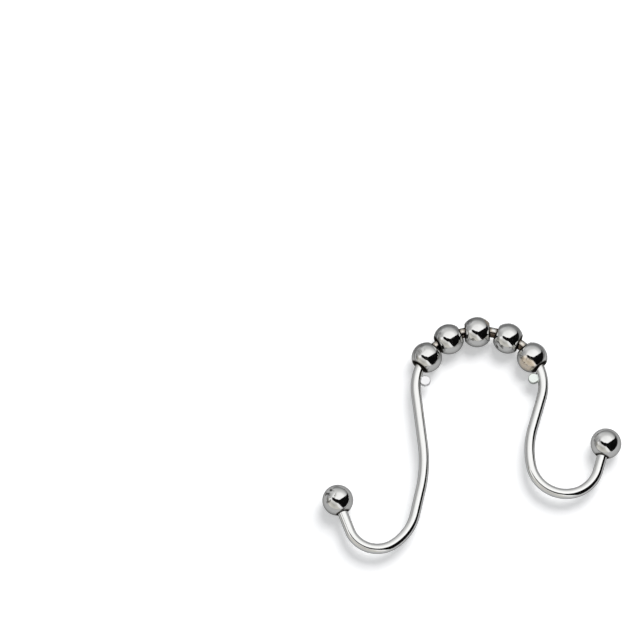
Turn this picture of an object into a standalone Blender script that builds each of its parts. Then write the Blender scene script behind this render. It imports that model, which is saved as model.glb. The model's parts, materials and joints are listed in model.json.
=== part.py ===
"""Double roller hook for a shower curtain and its liner.

One wire is bent into an arch, which goes over the rod, and two legs of different length, which end in open
hooks. Five bored balls roll on the arch between two welded stops, and a ball with a blind hole closes each
wire end. The hook lies flat: its plane is parallel to XY, the arch points to +Y, the long leg is on the -X
side, and the balls touch the plane Z = 0. Lengths are in metres and angles in degrees.
"""

import math
from dataclasses import dataclass

import bmesh
import bpy
from mathutils import Matrix, Vector

# Wire
WIRE_DIAMETER = 0.00275
WIRE_END_CHAMFER = 0.0003

# Arch over the rod, measured on the wire's centre line
ARCH_RADIUS = 0.0178
ARCH_HALF_ANGLE = 56.0

# Long leg, from the arch to its tip ball
LONG_SHOULDER_RADIUS = 0.0154
LONG_SHOULDER_ANGLE = 40.5
LONG_SHANK_LENGTH = 0.0146
LONG_KNEE_RADIUS = 0.038
LONG_KNEE_ANGLE = 19.5
LONG_CALF_LENGTH = 0.0071
LONG_HOOK_RADIUS = 0.0134
LONG_HOOK_ANGLE = 45.0
LONG_CURL_RADIUS = 0.0078
LONG_CURL_ANGLE = 101.5
LONG_TIP_LENGTH = 0.0091

# Short leg, from the arch to its tip ball
SHORT_SHOULDER_RADIUS = 0.0138
SHORT_SHOULDER_ANGLE = 50.5
SHORT_SHANK_LENGTH = 0.009
SHORT_KNEE_RADIUS = 0.0235
SHORT_KNEE_ANGLE = 26.5
SHORT_HOOK_RADIUS = 0.0094
SHORT_HOOK_ANGLE = 72.0
SHORT_CURL_RADIUS = 0.009
SHORT_CURL_ANGLE = 81.0
SHORT_TIP_LENGTH = 0.0082

# Tip balls
TIP_BALL_DIAMETER = 0.00825
TIP_HOLE_CLEARANCE = 0.00015
TIP_END_CLEARANCE = 0.0003
WIRE_PAST_TIP_CENTRE = 0.001
TIP_LIP_CHAMFER = 0.0001
DRILL_POINT_ANGLE = 118.0

# Roller balls
ROLLER_COUNT = 5
ROLLER_DIAMETER = 0.00825
ROLLER_BORE_CLEARANCE = 0.0005
ROLLER_MOUTH_FLARE = 0.0004
ROLLER_FLARE_DEPTH = 0.0012
ROLLER_LIP_RADIUS = 0.00012
TIGHT_PAIRS = 2
TIGHT_GAP = 0.00052
LOOSE_GAP = 0.00101
MIDDLE_ROLLER_SHIFT = 0.0005
ROLLER_DROP = 0.00025

# Stops: small round discs welded to the inner side of each leg, level with the hook's plane
STOP_DIAMETER = 0.00285
STOP_HEIGHT = 0.0013
STOP_EDGE_RADIUS = 0.00025
STOP_WELD_DEPTH = 0.00035
LONG_STOP_GAP = 0.0013
SHORT_STOP_GAP = 0.0006

# Smoothness of the round surfaces
WIRE_SIDES = 20
WIRE_STEP_ANGLE = 5.5
BALL_SEGMENTS = 28
HALF_BALL_STEPS = 7
FLARE_STEPS = 3
LIP_STEPS = 2
STOP_SIDES = 24
STOP_EDGE_STEPS = 3
SMOOTH_LIMIT_ANGLE = 35.0

# Fineness of the searches along the wire
SEARCH_STEPS = 48
OUTLINE_STEPS = 400

Z_AXIS = Vector((0.0, 0.0, 1.0))


@dataclass(frozen=True)
class Run:
    """One stretch of wire: a straight one where the angle is 0, else a bend. Positive angles turn left."""

    length: float
    angle: float = 0.0

    @property
    def radius(self):
        return self.length / abs(self.angle)


def straight(length):
    return Run(length)


def bend(radius, degrees):
    angle = math.radians(degrees)
    return Run(radius * abs(angle), angle)


class WirePath:
    """The centre line of one leg, from the crown of the arch to the wire's end, in the hook's own plane."""

    def __init__(self, start, heading, runs):
        self.start = start
        self.heading = heading
        self.runs = runs

    def advance(self, point, heading, run, length):
        """The point and heading after the first part of a run."""
        if not run.angle:
            return point + length * direction(heading), heading
        turned = run.angle * length / run.length
        centre = bend_centre(point, heading, run)
        return centre + Matrix.Rotation(turned, 3, "Z") @ (point - centre), heading + turned

    def at(self, distance):
        """The point and heading at a distance along the wire from the crown."""
        point, heading = self.start, self.heading
        for run in self.runs:
            length = min(distance, run.length)
            point, heading = self.advance(point, heading, run, length)
            distance -= length
            if distance <= 0:
                break
        return point, heading

    @property
    def length(self):
        return sum(run.length for run in self.runs)

    def first_distance(self, begin, reached):
        """The first distance past begin at which the test reached(point, heading) holds."""
        coarse = WIRE_DIAMETER / 2
        far = begin
        while far < self.length and not reached(*self.at(far)):
            far += coarse
        near = max(begin, far - coarse)
        for _ in range(SEARCH_STEPS):
            middle = (near + far) / 2
            if reached(*self.at(middle)):
                far = middle
            else:
                near = middle
        return far


def direction(heading):
    return Vector((math.cos(heading), math.sin(heading), 0.0))


def left_of(heading):
    return Vector((-math.sin(heading), math.cos(heading), 0.0))


def bend_centre(point, heading, run):
    return point + math.copysign(run.radius, run.angle) * left_of(heading)


def leg_paths():
    """The two legs as paths that share the crown of the arch, which is centred on the origin."""
    crown = Vector((0.0, ARCH_RADIUS, 0.0))
    long_leg = WirePath(crown, math.pi, (
        bend(ARCH_RADIUS, ARCH_HALF_ANGLE),
        bend(LONG_SHOULDER_RADIUS, LONG_SHOULDER_ANGLE),
        straight(LONG_SHANK_LENGTH),
        bend(LONG_KNEE_RADIUS, -LONG_KNEE_ANGLE),
        straight(LONG_CALF_LENGTH),
        bend(LONG_HOOK_RADIUS, -LONG_HOOK_ANGLE),
        bend(LONG_CURL_RADIUS, -LONG_CURL_ANGLE),
        straight(LONG_TIP_LENGTH + WIRE_PAST_TIP_CENTRE),
    ))
    short_leg = WirePath(crown, 0.0, (
        bend(ARCH_RADIUS, -ARCH_HALF_ANGLE),
        bend(SHORT_SHOULDER_RADIUS, -SHORT_SHOULDER_ANGLE),
        straight(SHORT_SHANK_LENGTH),
        bend(SHORT_KNEE_RADIUS, SHORT_KNEE_ANGLE),
        bend(SHORT_HOOK_RADIUS, SHORT_HOOK_ANGLE),
        bend(SHORT_CURL_RADIUS, SHORT_CURL_ANGLE),
        straight(SHORT_TIP_LENGTH + WIRE_PAST_TIP_CENTRE),
    ))
    return long_leg, short_leg


def clear_scene():
    for item in list(bpy.data.objects):
        bpy.data.objects.remove(item, do_unlink=True)


def metal(name, colour, roughness):
    material = bpy.data.materials.new(name)
    material.use_nodes = True
    shader = material.node_tree.nodes["Principled BSDF"]
    shader.inputs["Base Color"].default_value = (*colour, 1.0)
    shader.inputs["Metallic"].default_value = 1.0
    shader.inputs["Roughness"].default_value = roughness
    return material


def object_from(name, bm, material, parent=None):
    """A shaded object made from a closed bmesh, which it frees."""
    bmesh.ops.recalc_face_normals(bm, faces=bm.faces)
    mesh = bpy.data.meshes.new(name)
    bm.to_mesh(mesh)
    bm.free()
    mesh.materials.append(material)
    mesh.shade_smooth()
    mesh.set_sharp_from_angle(angle=math.radians(SMOOTH_LIMIT_ANGLE))
    made = bpy.data.objects.new(name, mesh)
    made.parent = parent
    bpy.context.scene.collection.objects.link(made)
    return made


def turned(profile, sides=BALL_SEGMENTS):
    """A closed bmesh turned about Z from (radius, height) points. A profile may end on the axis."""
    bm = bmesh.new()
    points = [bm.verts.new((radius, 0.0, height)) for radius, height in profile]
    pairs = list(zip(points, points[1:]))
    if profile[0][0] > 0 and profile[-1][0] > 0:
        pairs.append((points[-1], points[0]))
    edges = [bm.edges.new(pair) for pair in pairs]
    bmesh.ops.spin(
        bm, geom=points + edges, cent=(0.0, 0.0, 0.0), axis=Z_AXIS, dvec=(0.0, 0.0, 0.0),
        angle=math.tau, steps=sides, use_merge=True, use_duplicate=False,
    )
    bmesh.ops.remove_doubles(bm, verts=bm.verts, dist=1e-7)
    return bm


def arc(radius, begin, end, steps, centre=(0.0, 0.0)):
    """Points (radius, height) on a circle. Angles are in radians from the +radius direction."""
    angles = [begin + (end - begin) * step / steps for step in range(steps + 1)]
    return [(centre[0] + radius * math.cos(a), centre[1] + radius * math.sin(a)) for a in angles]


def tip_ball_mesh():
    """A ball whose blind drilled hole opens towards -Z, where the wire comes in."""
    ball = TIP_BALL_DIAMETER / 2
    hole = WIRE_DIAMETER / 2 + TIP_HOLE_CLEARANCE
    lip = hole + TIP_LIP_CHAMFER
    lip_angle = -math.acos(lip / ball)
    floor = WIRE_PAST_TIP_CENTRE + TIP_END_CLEARANCE
    point = floor + hole / math.tan(math.radians(DRILL_POINT_ANGLE / 2))
    far_half = arc(ball, math.pi / 2, 0.0, HALF_BALL_STEPS)[1:-1]
    near_half = arc(ball, 0.0, lip_angle, HALF_BALL_STEPS)
    hole_wall = [(hole, near_half[-1][1] + TIP_LIP_CHAMFER), (hole, floor)]
    return turned([(0.0, ball), *far_half, *near_half, *hole_wall, (0.0, point)])


def roller_waist():
    return WIRE_DIAMETER / 2 + ROLLER_BORE_CLEARANCE


def roller_lip():
    """The radius and height of the centre of the small round between a roller's ball and its mouth."""
    lip_radius = roller_waist() + ROLLER_MOUTH_FLARE + ROLLER_LIP_RADIUS
    to_centre = ROLLER_DIAMETER / 2 - ROLLER_LIP_RADIUS
    return lip_radius, math.sqrt(to_centre ** 2 - lip_radius ** 2)


def roller_mesh():
    """A ball with a through bore along Z, whose mouths flare so that it can follow the curved wire."""
    waist = roller_waist()
    lip_radius, lip_height = roller_lip()
    lip_angle = math.atan2(lip_height, lip_radius)
    outside = arc(ROLLER_DIAMETER / 2, -lip_angle, lip_angle, 2 * HALF_BALL_STEPS)
    lip_arc = arc(ROLLER_LIP_RADIUS, lip_angle, math.pi, LIP_STEPS, (lip_radius, lip_height))
    upper_lip = lip_arc[1:]
    upper_flare = []
    for step in range(1, FLARE_STEPS + 1):
        share = step / FLARE_STEPS
        upper_flare.append((
            waist + ROLLER_MOUTH_FLARE * (1.0 - math.sin(share * math.pi / 2)),
            lip_height - ROLLER_FLARE_DEPTH * (1.0 - math.cos(share * math.pi / 2)),
        ))
    upper = upper_lip + upper_flare
    lower = [(radius, -height) for radius, height in reversed(upper)]
    return turned(outside + upper + lower)


def stop_mesh():
    """A flat round disc across Z with rounded edges."""
    radius = STOP_DIAMETER / 2
    flat = radius - STOP_EDGE_RADIUS
    straight_half = STOP_HEIGHT / 2 - STOP_EDGE_RADIUS
    upper = arc(STOP_EDGE_RADIUS, 0.0, math.pi / 2, STOP_EDGE_STEPS, (flat, straight_half))
    lower = [(r, -h) for r, h in reversed(upper)]
    return turned([(0.0, -STOP_HEIGHT / 2), *lower, *upper, (0.0, STOP_HEIGHT / 2)], STOP_SIDES)


def sweep_leg(bm, ring, path):
    """Draws the wire's ring along a leg, run by run, and closes it with a chamfered end."""
    point, heading = path.start, path.heading
    for run in path.runs:
        if run.angle:
            steps = max(1, round(abs(math.degrees(run.angle)) / WIRE_STEP_ANGLE))
            drawn = bmesh.ops.spin(
                bm, geom=ring, cent=bend_centre(point, heading, run), axis=Z_AXIS,
                dvec=(0.0, 0.0, 0.0), angle=run.angle, steps=steps, use_duplicate=False,
            )
            ring = drawn["geom_last"]
        else:
            ring = pull(bm, ring, run.length * direction(heading))
        point, heading = path.advance(point, heading, run, run.length)
    end = pull(bm, ring, Vector((0.0, 0.0, 0.0)))
    bmesh.ops.translate(bm, verts=corners_of(ring), vec=-WIRE_END_CHAMFER * direction(heading))
    end_scale = 1.0 - WIRE_END_CHAMFER / (WIRE_DIAMETER / 2)
    for corner in corners_of(end):
        corner.co = point.lerp(corner.co, end_scale)
    bmesh.ops.contextual_create(bm, geom=end)


def corners_of(geometry):
    return [item for item in geometry if isinstance(item, bmesh.types.BMVert)]


def edges_of(geometry):
    return [item for item in geometry if isinstance(item, bmesh.types.BMEdge)]


def pull(bm, ring, offset):
    """Extrudes a ring of edges by an offset and returns the new ring."""
    drawn = bmesh.ops.extrude_edge_only(bm, edges=edges_of(ring))["geom"]
    corners = corners_of(drawn)
    bmesh.ops.translate(bm, verts=corners, vec=offset)
    rim = [edge for edge in edges_of(drawn) if all(corner in corners for corner in edge.verts)]
    return corners + rim


def wire_mesh(paths):
    """The bent wire as one tube, drawn both ways from a ring at the crown."""
    bm = bmesh.new()
    crown = paths[0].start
    across = Matrix.Rotation(math.pi / 2, 4, "Y")
    bmesh.ops.create_circle(
        bm, cap_ends=False, radius=WIRE_DIAMETER / 2, segments=WIRE_SIDES,
        matrix=Matrix.Translation(crown) @ across,
    )
    ring = list(bm.verts) + list(bm.edges)
    for path in paths:
        sweep_leg(bm, ring, path)
    return bm


def along(point, heading):
    """A matrix that lays a piece's own Z along the wire at a point, with its X upwards."""
    ahead = direction(heading)
    turn = Matrix((Z_AXIS, ahead.cross(Z_AXIS), ahead)).transposed()
    return Matrix.Translation(point) @ turn.to_4x4()


def touching_pitch():
    """The distance between the centres of two rollers on the arch whose mouth rims touch inside the bend."""
    rolling_radius = ARCH_RADIUS - ROLLER_DROP
    lip_radius, lip_height = roller_lip()
    stretch = (ROLLER_DIAMETER / 2) / math.hypot(lip_radius, lip_height)
    rim_radius, rim_height = lip_radius * stretch, lip_height * stretch
    return 2 * rim_height / math.hypot(1 - rim_radius / rolling_radius, rim_height / rolling_radius)


def hung(point, heading, inner_side):
    """The centre of a roller on the wire at a point: its play lets it drop towards the inner side."""
    return point + inner_side * ROLLER_DROP * left_of(heading)


def roller_stations(paths):
    """The (centre, heading) of each roller, from the long leg's side to the short leg's."""
    middle = ROLLER_COUNT // 2
    gaps = [TIGHT_GAP if pair < TIGHT_PAIRS else LOOSE_GAP for pair in range(ROLLER_COUNT - 1)]
    touching = touching_pitch()
    point, heading = paths[0].at(MIDDLE_ROLLER_SHIFT)
    stations = {middle: (hung(point, heading, 1), heading)}
    towards_long = (paths[0], range(middle - 1, -1, -1), 1)
    towards_short = (paths[1], range(middle + 1, ROLLER_COUNT), -1)
    for path, numbers, inward in (towards_long, towards_short):
        begin = 0.0
        for number in numbers:
            neighbour = stations[number + inward][0]
            pitch = touching + gaps[min(number, number + inward)]

            def clear(point, heading, side=inward, near=neighbour, apart=pitch):
                return (hung(point, heading, side) - near).length >= apart

            begin = path.first_distance(begin, clear)
            point, heading = path.at(begin)
            stations[number] = (hung(point, heading, inward), heading)
    return [stations[number] for number in range(ROLLER_COUNT)]


def stop_place(path, roller, gap, inner_side):
    """The centre of the stop that keeps a roller on the arch, on the inner side of the leg."""
    offset = (WIRE_DIAMETER + STOP_DIAMETER) / 2 - STOP_WELD_DEPTH
    apart = (ROLLER_DIAMETER + STOP_DIAMETER) / 2 + gap
    begin = path.first_distance(0.0, lambda point, _: (point - roller).length <= WIRE_DIAMETER / 2)

    def centre(point, heading):
        return point + inner_side * offset * left_of(heading)

    found = path.first_distance(
        begin, lambda point, heading: (centre(point, heading) - roller).length >= apart
    )
    return centre(*path.at(found))


def join_to(target, helper):
    helper.hide_render = True
    helper.display_type = "WIRE"
    union = target.modifiers.new(helper.name, "BOOLEAN")
    union.operation = "UNION"
    union.solver = "EXACT"
    union.object = helper


def frame_offset(paths):
    """The shift that puts the middle of the finished outline over the origin, with the balls on Z = 0."""
    ball_radius = TIP_BALL_DIAMETER / 2
    tips = [path.at(path.length - WIRE_PAST_TIP_CENTRE)[0] for path in paths]
    shares = [step / OUTLINE_STEPS for step in range(OUTLINE_STEPS + 1)]
    low_wire = min(path.at(path.length * share)[0].y for path in paths for share in shares)
    left = min(tip.x for tip in tips) - ball_radius
    right = max(tip.x for tip in tips) + ball_radius
    top = roller_stations(paths)[ROLLER_COUNT // 2][0].y + ROLLER_DIAMETER / 2
    bottom = low_wire - WIRE_DIAMETER / 2
    height = max(TIP_BALL_DIAMETER, ROLLER_DIAMETER) / 2
    return Vector((-(left + right) / 2, -(bottom + top) / 2, height))


def main():
    clear_scene()
    chrome = metal("bright_chrome", (0.66, 0.66, 0.65), 0.06)
    roller_chrome = metal("roller_chrome", (0.66, 0.66, 0.65), 0.08)
    paths = leg_paths()
    long_leg, short_leg = paths
    frame = bpy.data.objects.new("hook_frame", None)
    frame.location = frame_offset(paths)
    bpy.context.scene.collection.objects.link(frame)

    wire = object_from("hook_wire", wire_mesh(paths), chrome, frame)
    stations = roller_stations(paths)
    stops = (
        ("long_stop", stop_place(long_leg, stations[0][0], LONG_STOP_GAP, 1)),
        ("short_stop", stop_place(short_leg, stations[-1][0], SHORT_STOP_GAP, -1)),
    )
    for name, place in stops:
        stop = object_from(name, stop_mesh(), chrome, frame)
        stop.location = place
        join_to(wire, stop)

    for name, path in (("long_tip_ball", long_leg), ("short_tip_ball", short_leg)):
        ball = object_from(name, tip_ball_mesh(), chrome, frame)
        ball.matrix_local = along(*path.at(path.length - WIRE_PAST_TIP_CENTRE))

    for number, (point, heading) in enumerate(stations, start=1):
        roller = object_from(f"roller_{number}", roller_mesh(), roller_chrome, frame)
        roller.matrix_local = along(point, heading)


main()
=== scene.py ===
"""Curtain hook of bent wire with five roller balls, lying on a white table.

The wire is drawn bend by bend along one line, from the long leg's tip over the arch to the short leg's tip.
The balls are turned from their sections, and two small stops are welded to the legs. Lengths are in metres,
angles in degrees where a name says so and in radians elsewhere. The picture's frame is 640 by 640.
"""

import json
import logging
import math
from dataclasses import dataclass
from enum import Enum

import bpy
from mathutils import Matrix, Vector


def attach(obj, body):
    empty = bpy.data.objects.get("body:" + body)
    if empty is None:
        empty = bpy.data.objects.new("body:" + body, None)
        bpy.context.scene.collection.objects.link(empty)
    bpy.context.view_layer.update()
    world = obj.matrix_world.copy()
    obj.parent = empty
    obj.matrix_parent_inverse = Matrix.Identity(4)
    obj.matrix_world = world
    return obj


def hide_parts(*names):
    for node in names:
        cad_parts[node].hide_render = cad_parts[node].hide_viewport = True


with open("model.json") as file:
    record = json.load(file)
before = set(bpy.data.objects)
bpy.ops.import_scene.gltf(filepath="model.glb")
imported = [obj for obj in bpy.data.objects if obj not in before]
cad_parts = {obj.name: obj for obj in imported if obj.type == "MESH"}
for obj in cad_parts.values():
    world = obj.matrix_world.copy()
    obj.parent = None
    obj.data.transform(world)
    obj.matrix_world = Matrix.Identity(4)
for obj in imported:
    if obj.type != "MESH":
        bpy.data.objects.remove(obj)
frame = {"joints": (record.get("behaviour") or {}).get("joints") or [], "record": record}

LOG = logging.getLogger("curtain_hook")
Feed = object
Settings = dict[str, object]
Sockets = dict[int | str, object]
Band = tuple[float, float]
Point = tuple[float, float, float]
Colour = tuple[float, float, float]
Profile = list[tuple[float, float]]

HOOK_BODY = "hook"
WHITE: Colour = (1.0, 1.0, 1.0)


@dataclass(frozen=True)
class Patch:
    """A patch on a ball, either a stain, which also dulls it, or painted dark speckle that stands for a
    reflection: its direction, and the cosines at its two edges.
    """

    mark: str
    towards: Point
    outer: float
    inner: float
    strength: float = 1.0

    def level(self, direction: Vector) -> float:
        """How far the patch covers the ball in a direction, from 0 to its strength."""
        cosine = direction.dot(Vector(self.towards).normalized())
        return self.strength * soft_step(cosine, self.outer, self.inner)


# Patches of painted dark speckle stand for reflections of the surroundings, at the upper left of every ball
# and the lower left of rollers 3 and 4; the other patches are stains.
PATCHES: dict[str, tuple[Patch, ...]] = {
    "long_tip_ball": (Patch("mirror_speckle", (-0.62, 0.10, 0.77), 0.80, 0.93),),
    "short_tip_ball": (Patch("mirror_speckle", (-0.73, -0.07, 0.68), 0.86, 0.96, 0.45),),
    "roller_1": (Patch("mirror_speckle", (-0.50, 0.33, 0.80), 0.86, 0.97, 0.40),),
    "roller_2": (Patch("mirror_speckle", (-0.63, 0.29, 0.72), 0.88, 0.97, 0.30),),
    "roller_3": (
        Patch("stain", (0.73, 0.49, 0.47), 0.90, 0.97),
        Patch("mirror_speckle", (-0.40, -0.76, 0.50), 0.93, 0.985),
        Patch("mirror_speckle", (-0.67, 0.30, 0.68), 0.86, 0.97, 0.45),
    ),
    "roller_4": (
        Patch("mirror_speckle", (-0.63, -0.68, 0.37), 0.92, 0.98),
        Patch("mirror_speckle", (-0.47, 0.42, 0.78), 0.90, 0.97, 0.25),
    ),
    "roller_5": (Patch("stain", (-0.42, -0.71, 0.56), 0.74, 0.92),),
}


class Leg(Enum):
    """The two legs of the hook."""

    LONG = "long"
    SHORT = "short"


class Slot(Enum):
    """The material slots of the record."""

    WIRE = "wire"
    TIP_BALL = "tip_ball"
    ROLLER = "roller"


class Signal:
    """A number or a vector in a node tree that can stand in a Python expression."""

    def __init__(self, tree: "NodeTree", socket: bpy.types.NodeSocket) -> None:
        """Wraps an output socket of a tree."""
        self.tree = tree
        self.socket = socket

    @property
    def wide(self) -> bool:
        """Whether the socket carries a vector or a colour."""
        return self.socket.type in {"VECTOR", "RGBA"}

    @property
    def kind(self) -> str:
        """The data type of an attribute that keeps this value."""
        return "FLOAT_VECTOR" if self.wide else "FLOAT"

    def combine(self, operation: str, first: Feed, second: Feed = None) -> "Signal":
        """Adds a Math or Vector Math node.

        Args:
            operation: The node's operation.
            first: The first operand.
            second: The second operand, if there is one.

        Returns:
            The result.
        """
        operands = [item for item in (first, second) if item is not None]
        wide = any(isinstance(item, Signal) and item.wide for item in operands)
        kind = "ShaderNodeVectorMath" if wide else "ShaderNodeMath"
        return self.tree.signal(kind, {"operation": operation}, dict(enumerate(operands)))

    def __add__(self, other: Feed) -> "Signal":
        """The sum."""
        return self.combine("ADD", self, other)

    def __radd__(self, other: Feed) -> "Signal":
        """The sum, with this signal second."""
        return self.combine("ADD", other, self)

    def __sub__(self, other: Feed) -> "Signal":
        """The difference."""
        return self.combine("SUBTRACT", self, other)

    def __rsub__(self, other: Feed) -> "Signal":
        """The difference, with this signal second."""
        return self.combine("SUBTRACT", other, self)

    def __mul__(self, other: Feed) -> "Signal":
        """The product."""
        return self.combine("MULTIPLY", self, other)

    def __rmul__(self, other: Feed) -> "Signal":
        """The product, with this signal second."""
        return self.combine("MULTIPLY", other, self)

    def __truediv__(self, other: Feed) -> "Signal":
        """The quotient."""
        return self.combine("DIVIDE", self, other)

    def __rtruediv__(self, other: Feed) -> "Signal":
        """The quotient, with this signal second."""
        return self.combine("DIVIDE", other, self)

    def least(self, other: Feed) -> "Signal":
        """The smaller of two values."""
        return self.combine("MINIMUM", self, other)

    def most(self, other: Feed) -> "Signal":
        """The larger of two values."""
        return self.combine("MAXIMUM", self, other)

    def absolute(self) -> "Signal":
        """The value without its sign."""
        return self.combine("ABSOLUTE", self)

    def circle(self) -> tuple["Signal", "Signal"]:
        """The cosine and the sine of an angle."""
        return self.combine("COSINE", self), self.combine("SINE", self)

    def length(self) -> "Signal":
        """The length of a vector."""
        return self.tree.signal("ShaderNodeVectorMath", {"operation": "LENGTH"}, {0: self}, "Value")

    def clamped(self, low: float = 0.0, high: float = 1.0) -> "Signal":
        """The value kept between two limits."""
        return self.tree.signal("ShaderNodeClamp", {}, {"Value": self, "Min": low, "Max": high})

    def smooth(self, low: float, high: float) -> "Signal":
        """A soft step from 0 at low to 1 at high."""
        share = ((self - low) / (high - low)).clamped()
        return share * share * (3.0 - 2.0 * share)

    def parts(self) -> tuple["Signal", "Signal", "Signal"]:
        """The x, y and z of a vector."""
        split = self.tree.node("ShaderNodeSeparateXYZ", {}, {0: self})
        return tuple(Signal(self.tree, socket) for socket in split.outputs)


class NodeTree:
    """A node tree that is written as calls and expressions."""

    def __init__(self, tree: bpy.types.NodeTree) -> None:
        """Takes an empty tree."""
        self.tree = tree

    def feed(self, socket: bpy.types.NodeSocket, value: Feed) -> None:
        """Links or sets an input.

        Args:
            socket: The input socket.
            value: A signal, a socket, or a plain value.
        """
        if isinstance(value, Signal):
            self.tree.links.new(value.socket, socket)
        elif isinstance(value, bpy.types.NodeSocket):
            self.tree.links.new(value, socket)
        elif socket.type == "VECTOR" and isinstance(value, (int, float)):
            socket.default_value = (value, value, value)
        elif socket.type == "RGBA" and len(value) == 3:
            socket.default_value = (*value, 1.0)
        else:
            socket.default_value = value

    def node(
        self, kind: str, settings: Settings | None = None, sockets: Sockets | None = None,
    ) -> bpy.types.Node:
        """Adds a node.

        Args:
            kind: The node's type.
            settings: Its properties, which are set first.
            sockets: The values or links of its inputs, by name or number.

        Returns:
            The node.
        """
        made = self.tree.nodes.new(kind)
        for key, value in (settings or {}).items():
            setattr(made, key, value)
        for key, value in (sockets or {}).items():
            self.feed(made.inputs[key], value)
        return made

    def signal(
        self, kind: str, settings: Settings | None = None, sockets: Sockets | None = None,
        output: int | str = 0,
    ) -> Signal:
        """Adds a node as node() does and wraps one of its outputs, given by name or number."""
        return Signal(self, self.node(kind, settings, sockets).outputs[output])

    def vector(self, x: Feed, y: Feed, z: Feed) -> Signal:
        """A vector from three values."""
        return self.signal("ShaderNodeCombineXYZ", {}, {0: x, 1: y, 2: z})

    def blend(self, share: Feed, first: Feed, second: Feed) -> Signal:
        """A colour between two colours."""
        return self.signal("ShaderNodeMix", {"data_type": "RGBA"}, {0: share, 6: first, 7: second}, 2)


class SurfaceTree(NodeTree):
    """The node tree of a new material or world."""

    def __init__(self, owner: bpy.types.ID, output: str = "ShaderNodeOutputMaterial") -> None:
        """Empties the tree of a material or a world.

        Args:
            owner: The material or world.
            output: The type of its output node.
        """
        owner.use_nodes = True
        owner.node_tree.nodes.clear()
        super().__init__(owner.node_tree)
        self.owner = owner
        self.output = output

    def attribute(self, name: str, output: str = "Fac") -> Signal:
        """An attribute of the mesh."""
        return self.signal("ShaderNodeAttribute", {"attribute_name": name}, {}, output)

    def ray(self, kind: str) -> Signal:
        """Whether a ray is of one kind, such as Is Camera Ray."""
        return self.signal("ShaderNodeLightPath", {}, {}, kind)

    def noise(self, place: Feed, scale: float, **more: float) -> Signal:
        """A noise pattern, from 0 to 1."""
        return self.signal("ShaderNodeTexNoise", {}, {"Vector": place, "Scale": scale, **more})

    def finish(self, shader: bpy.types.Node) -> bpy.types.ID:
        """Links the shader to the output and gives the material or world back."""
        self.node(self.output, {}, {"Surface": shader.outputs[0]})
        return self.owner


def add_object(name: str, data: bpy.types.ID) -> bpy.types.Object:
    """Puts an object into the scene.

    Args:
        name: The object's name.
        data: Its mesh, lamp or camera.

    Returns:
        The object, at the origin.
    """
    made = bpy.data.objects.new(name, data)
    bpy.context.scene.collection.objects.link(made)
    return made


class MeshTree(NodeTree):
    """A Geometry Nodes tree with named inputs that grows one plain mesh."""

    KINDS = {
        float: "NodeSocketFloat", int: "NodeSocketInt", tuple: "NodeSocketVector",
        bpy.types.Material: "NodeSocketMaterial",
    }

    def __init__(self, name: str, inputs: dict[str, Feed]) -> None:
        """Makes the tree and its inputs.

        Args:
            name: The tree's name.
            inputs: The inputs' names and values. A value's type decides the socket's.
        """
        super().__init__(bpy.data.node_groups.new(name, "GeometryNodeTree"))
        face = self.tree.interface
        face.new_socket("Geometry", in_out="INPUT", socket_type="NodeSocketGeometry")
        self.values: dict[str, Feed] = {}
        for title, value in inputs.items():
            made = face.new_socket(title, in_out="INPUT", socket_type=self.KINDS[type(value)])
            self.values[made.identifier] = value
        face.new_socket("Geometry", in_out="OUTPUT", socket_type="NodeSocketGeometry")
        self.entry = self.node("NodeGroupInput")

    def size(self, title: str) -> Signal:
        """One of the tree's own inputs."""
        return Signal(self, self.entry.outputs[title])

    def step(self, kind: str, sockets: Sockets) -> bpy.types.NodeSocket:
        """Adds a node that changes or makes a geometry, and gives its geometry."""
        return self.node(kind, {}, sockets).outputs[0]

    def named(self, name: str, kind: str = "FLOAT") -> Signal:
        """An attribute of the geometry."""
        return self.signal("GeometryNodeInputNamedAttribute", {"data_type": kind}, {"Name": name})

    def store(self, geometry: bpy.types.NodeSocket, name: str, value: Signal) -> bpy.types.NodeSocket:
        """Writes a value on the points of a geometry, as a named attribute."""
        return self.node(
            "GeometryNodeStoreNamedAttribute", {"data_type": value.kind, "domain": "POINT"},
            {"Geometry": geometry, "Name": name, "Value": value},
        ).outputs[0]

    def close(self, geometry: bpy.types.NodeSocket) -> None:
        """Ends the tree: smooth faces, real geometry and the finish.

        Args:
            geometry: The mesh.
        """
        shaded = self.step("GeometryNodeSetShadeSmooth", {"Geometry": geometry})
        real = self.step("GeometryNodeRealizeInstances", {"Geometry": shaded})
        dressed = self.step("GeometryNodeSetMaterial", {"Geometry": real, "Material": self.size("Finish")})
        self.node("NodeGroupOutput", {}, {"Geometry": dressed})

    def grow(self, name: str, base: bpy.types.Mesh | None = None) -> bpy.types.Object:
        """Runs the tree once and keeps its result as a plain mesh.

        Args:
            name: The piece's name.
            base: The mesh that the tree starts from, if it needs one.

        Returns:
            An object at the origin, without a modifier.
        """
        seed = add_object(f"{name}_seed", base or bpy.data.meshes.new(f"{name}_seed"))
        modifier = seed.modifiers.new(self.tree.name, "NODES")
        modifier.node_group = self.tree
        for identifier, value in self.values.items():
            modifier[identifier] = value
        graph = bpy.context.evaluated_depsgraph_get()
        mesh = bpy.data.meshes.new_from_object(seed.evaluated_get(graph), depsgraph=graph)
        seed.modifiers.remove(modifier)
        bpy.data.objects.remove(seed, do_unlink=True)
        mesh.name = name
        return add_object(name, mesh)


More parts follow.
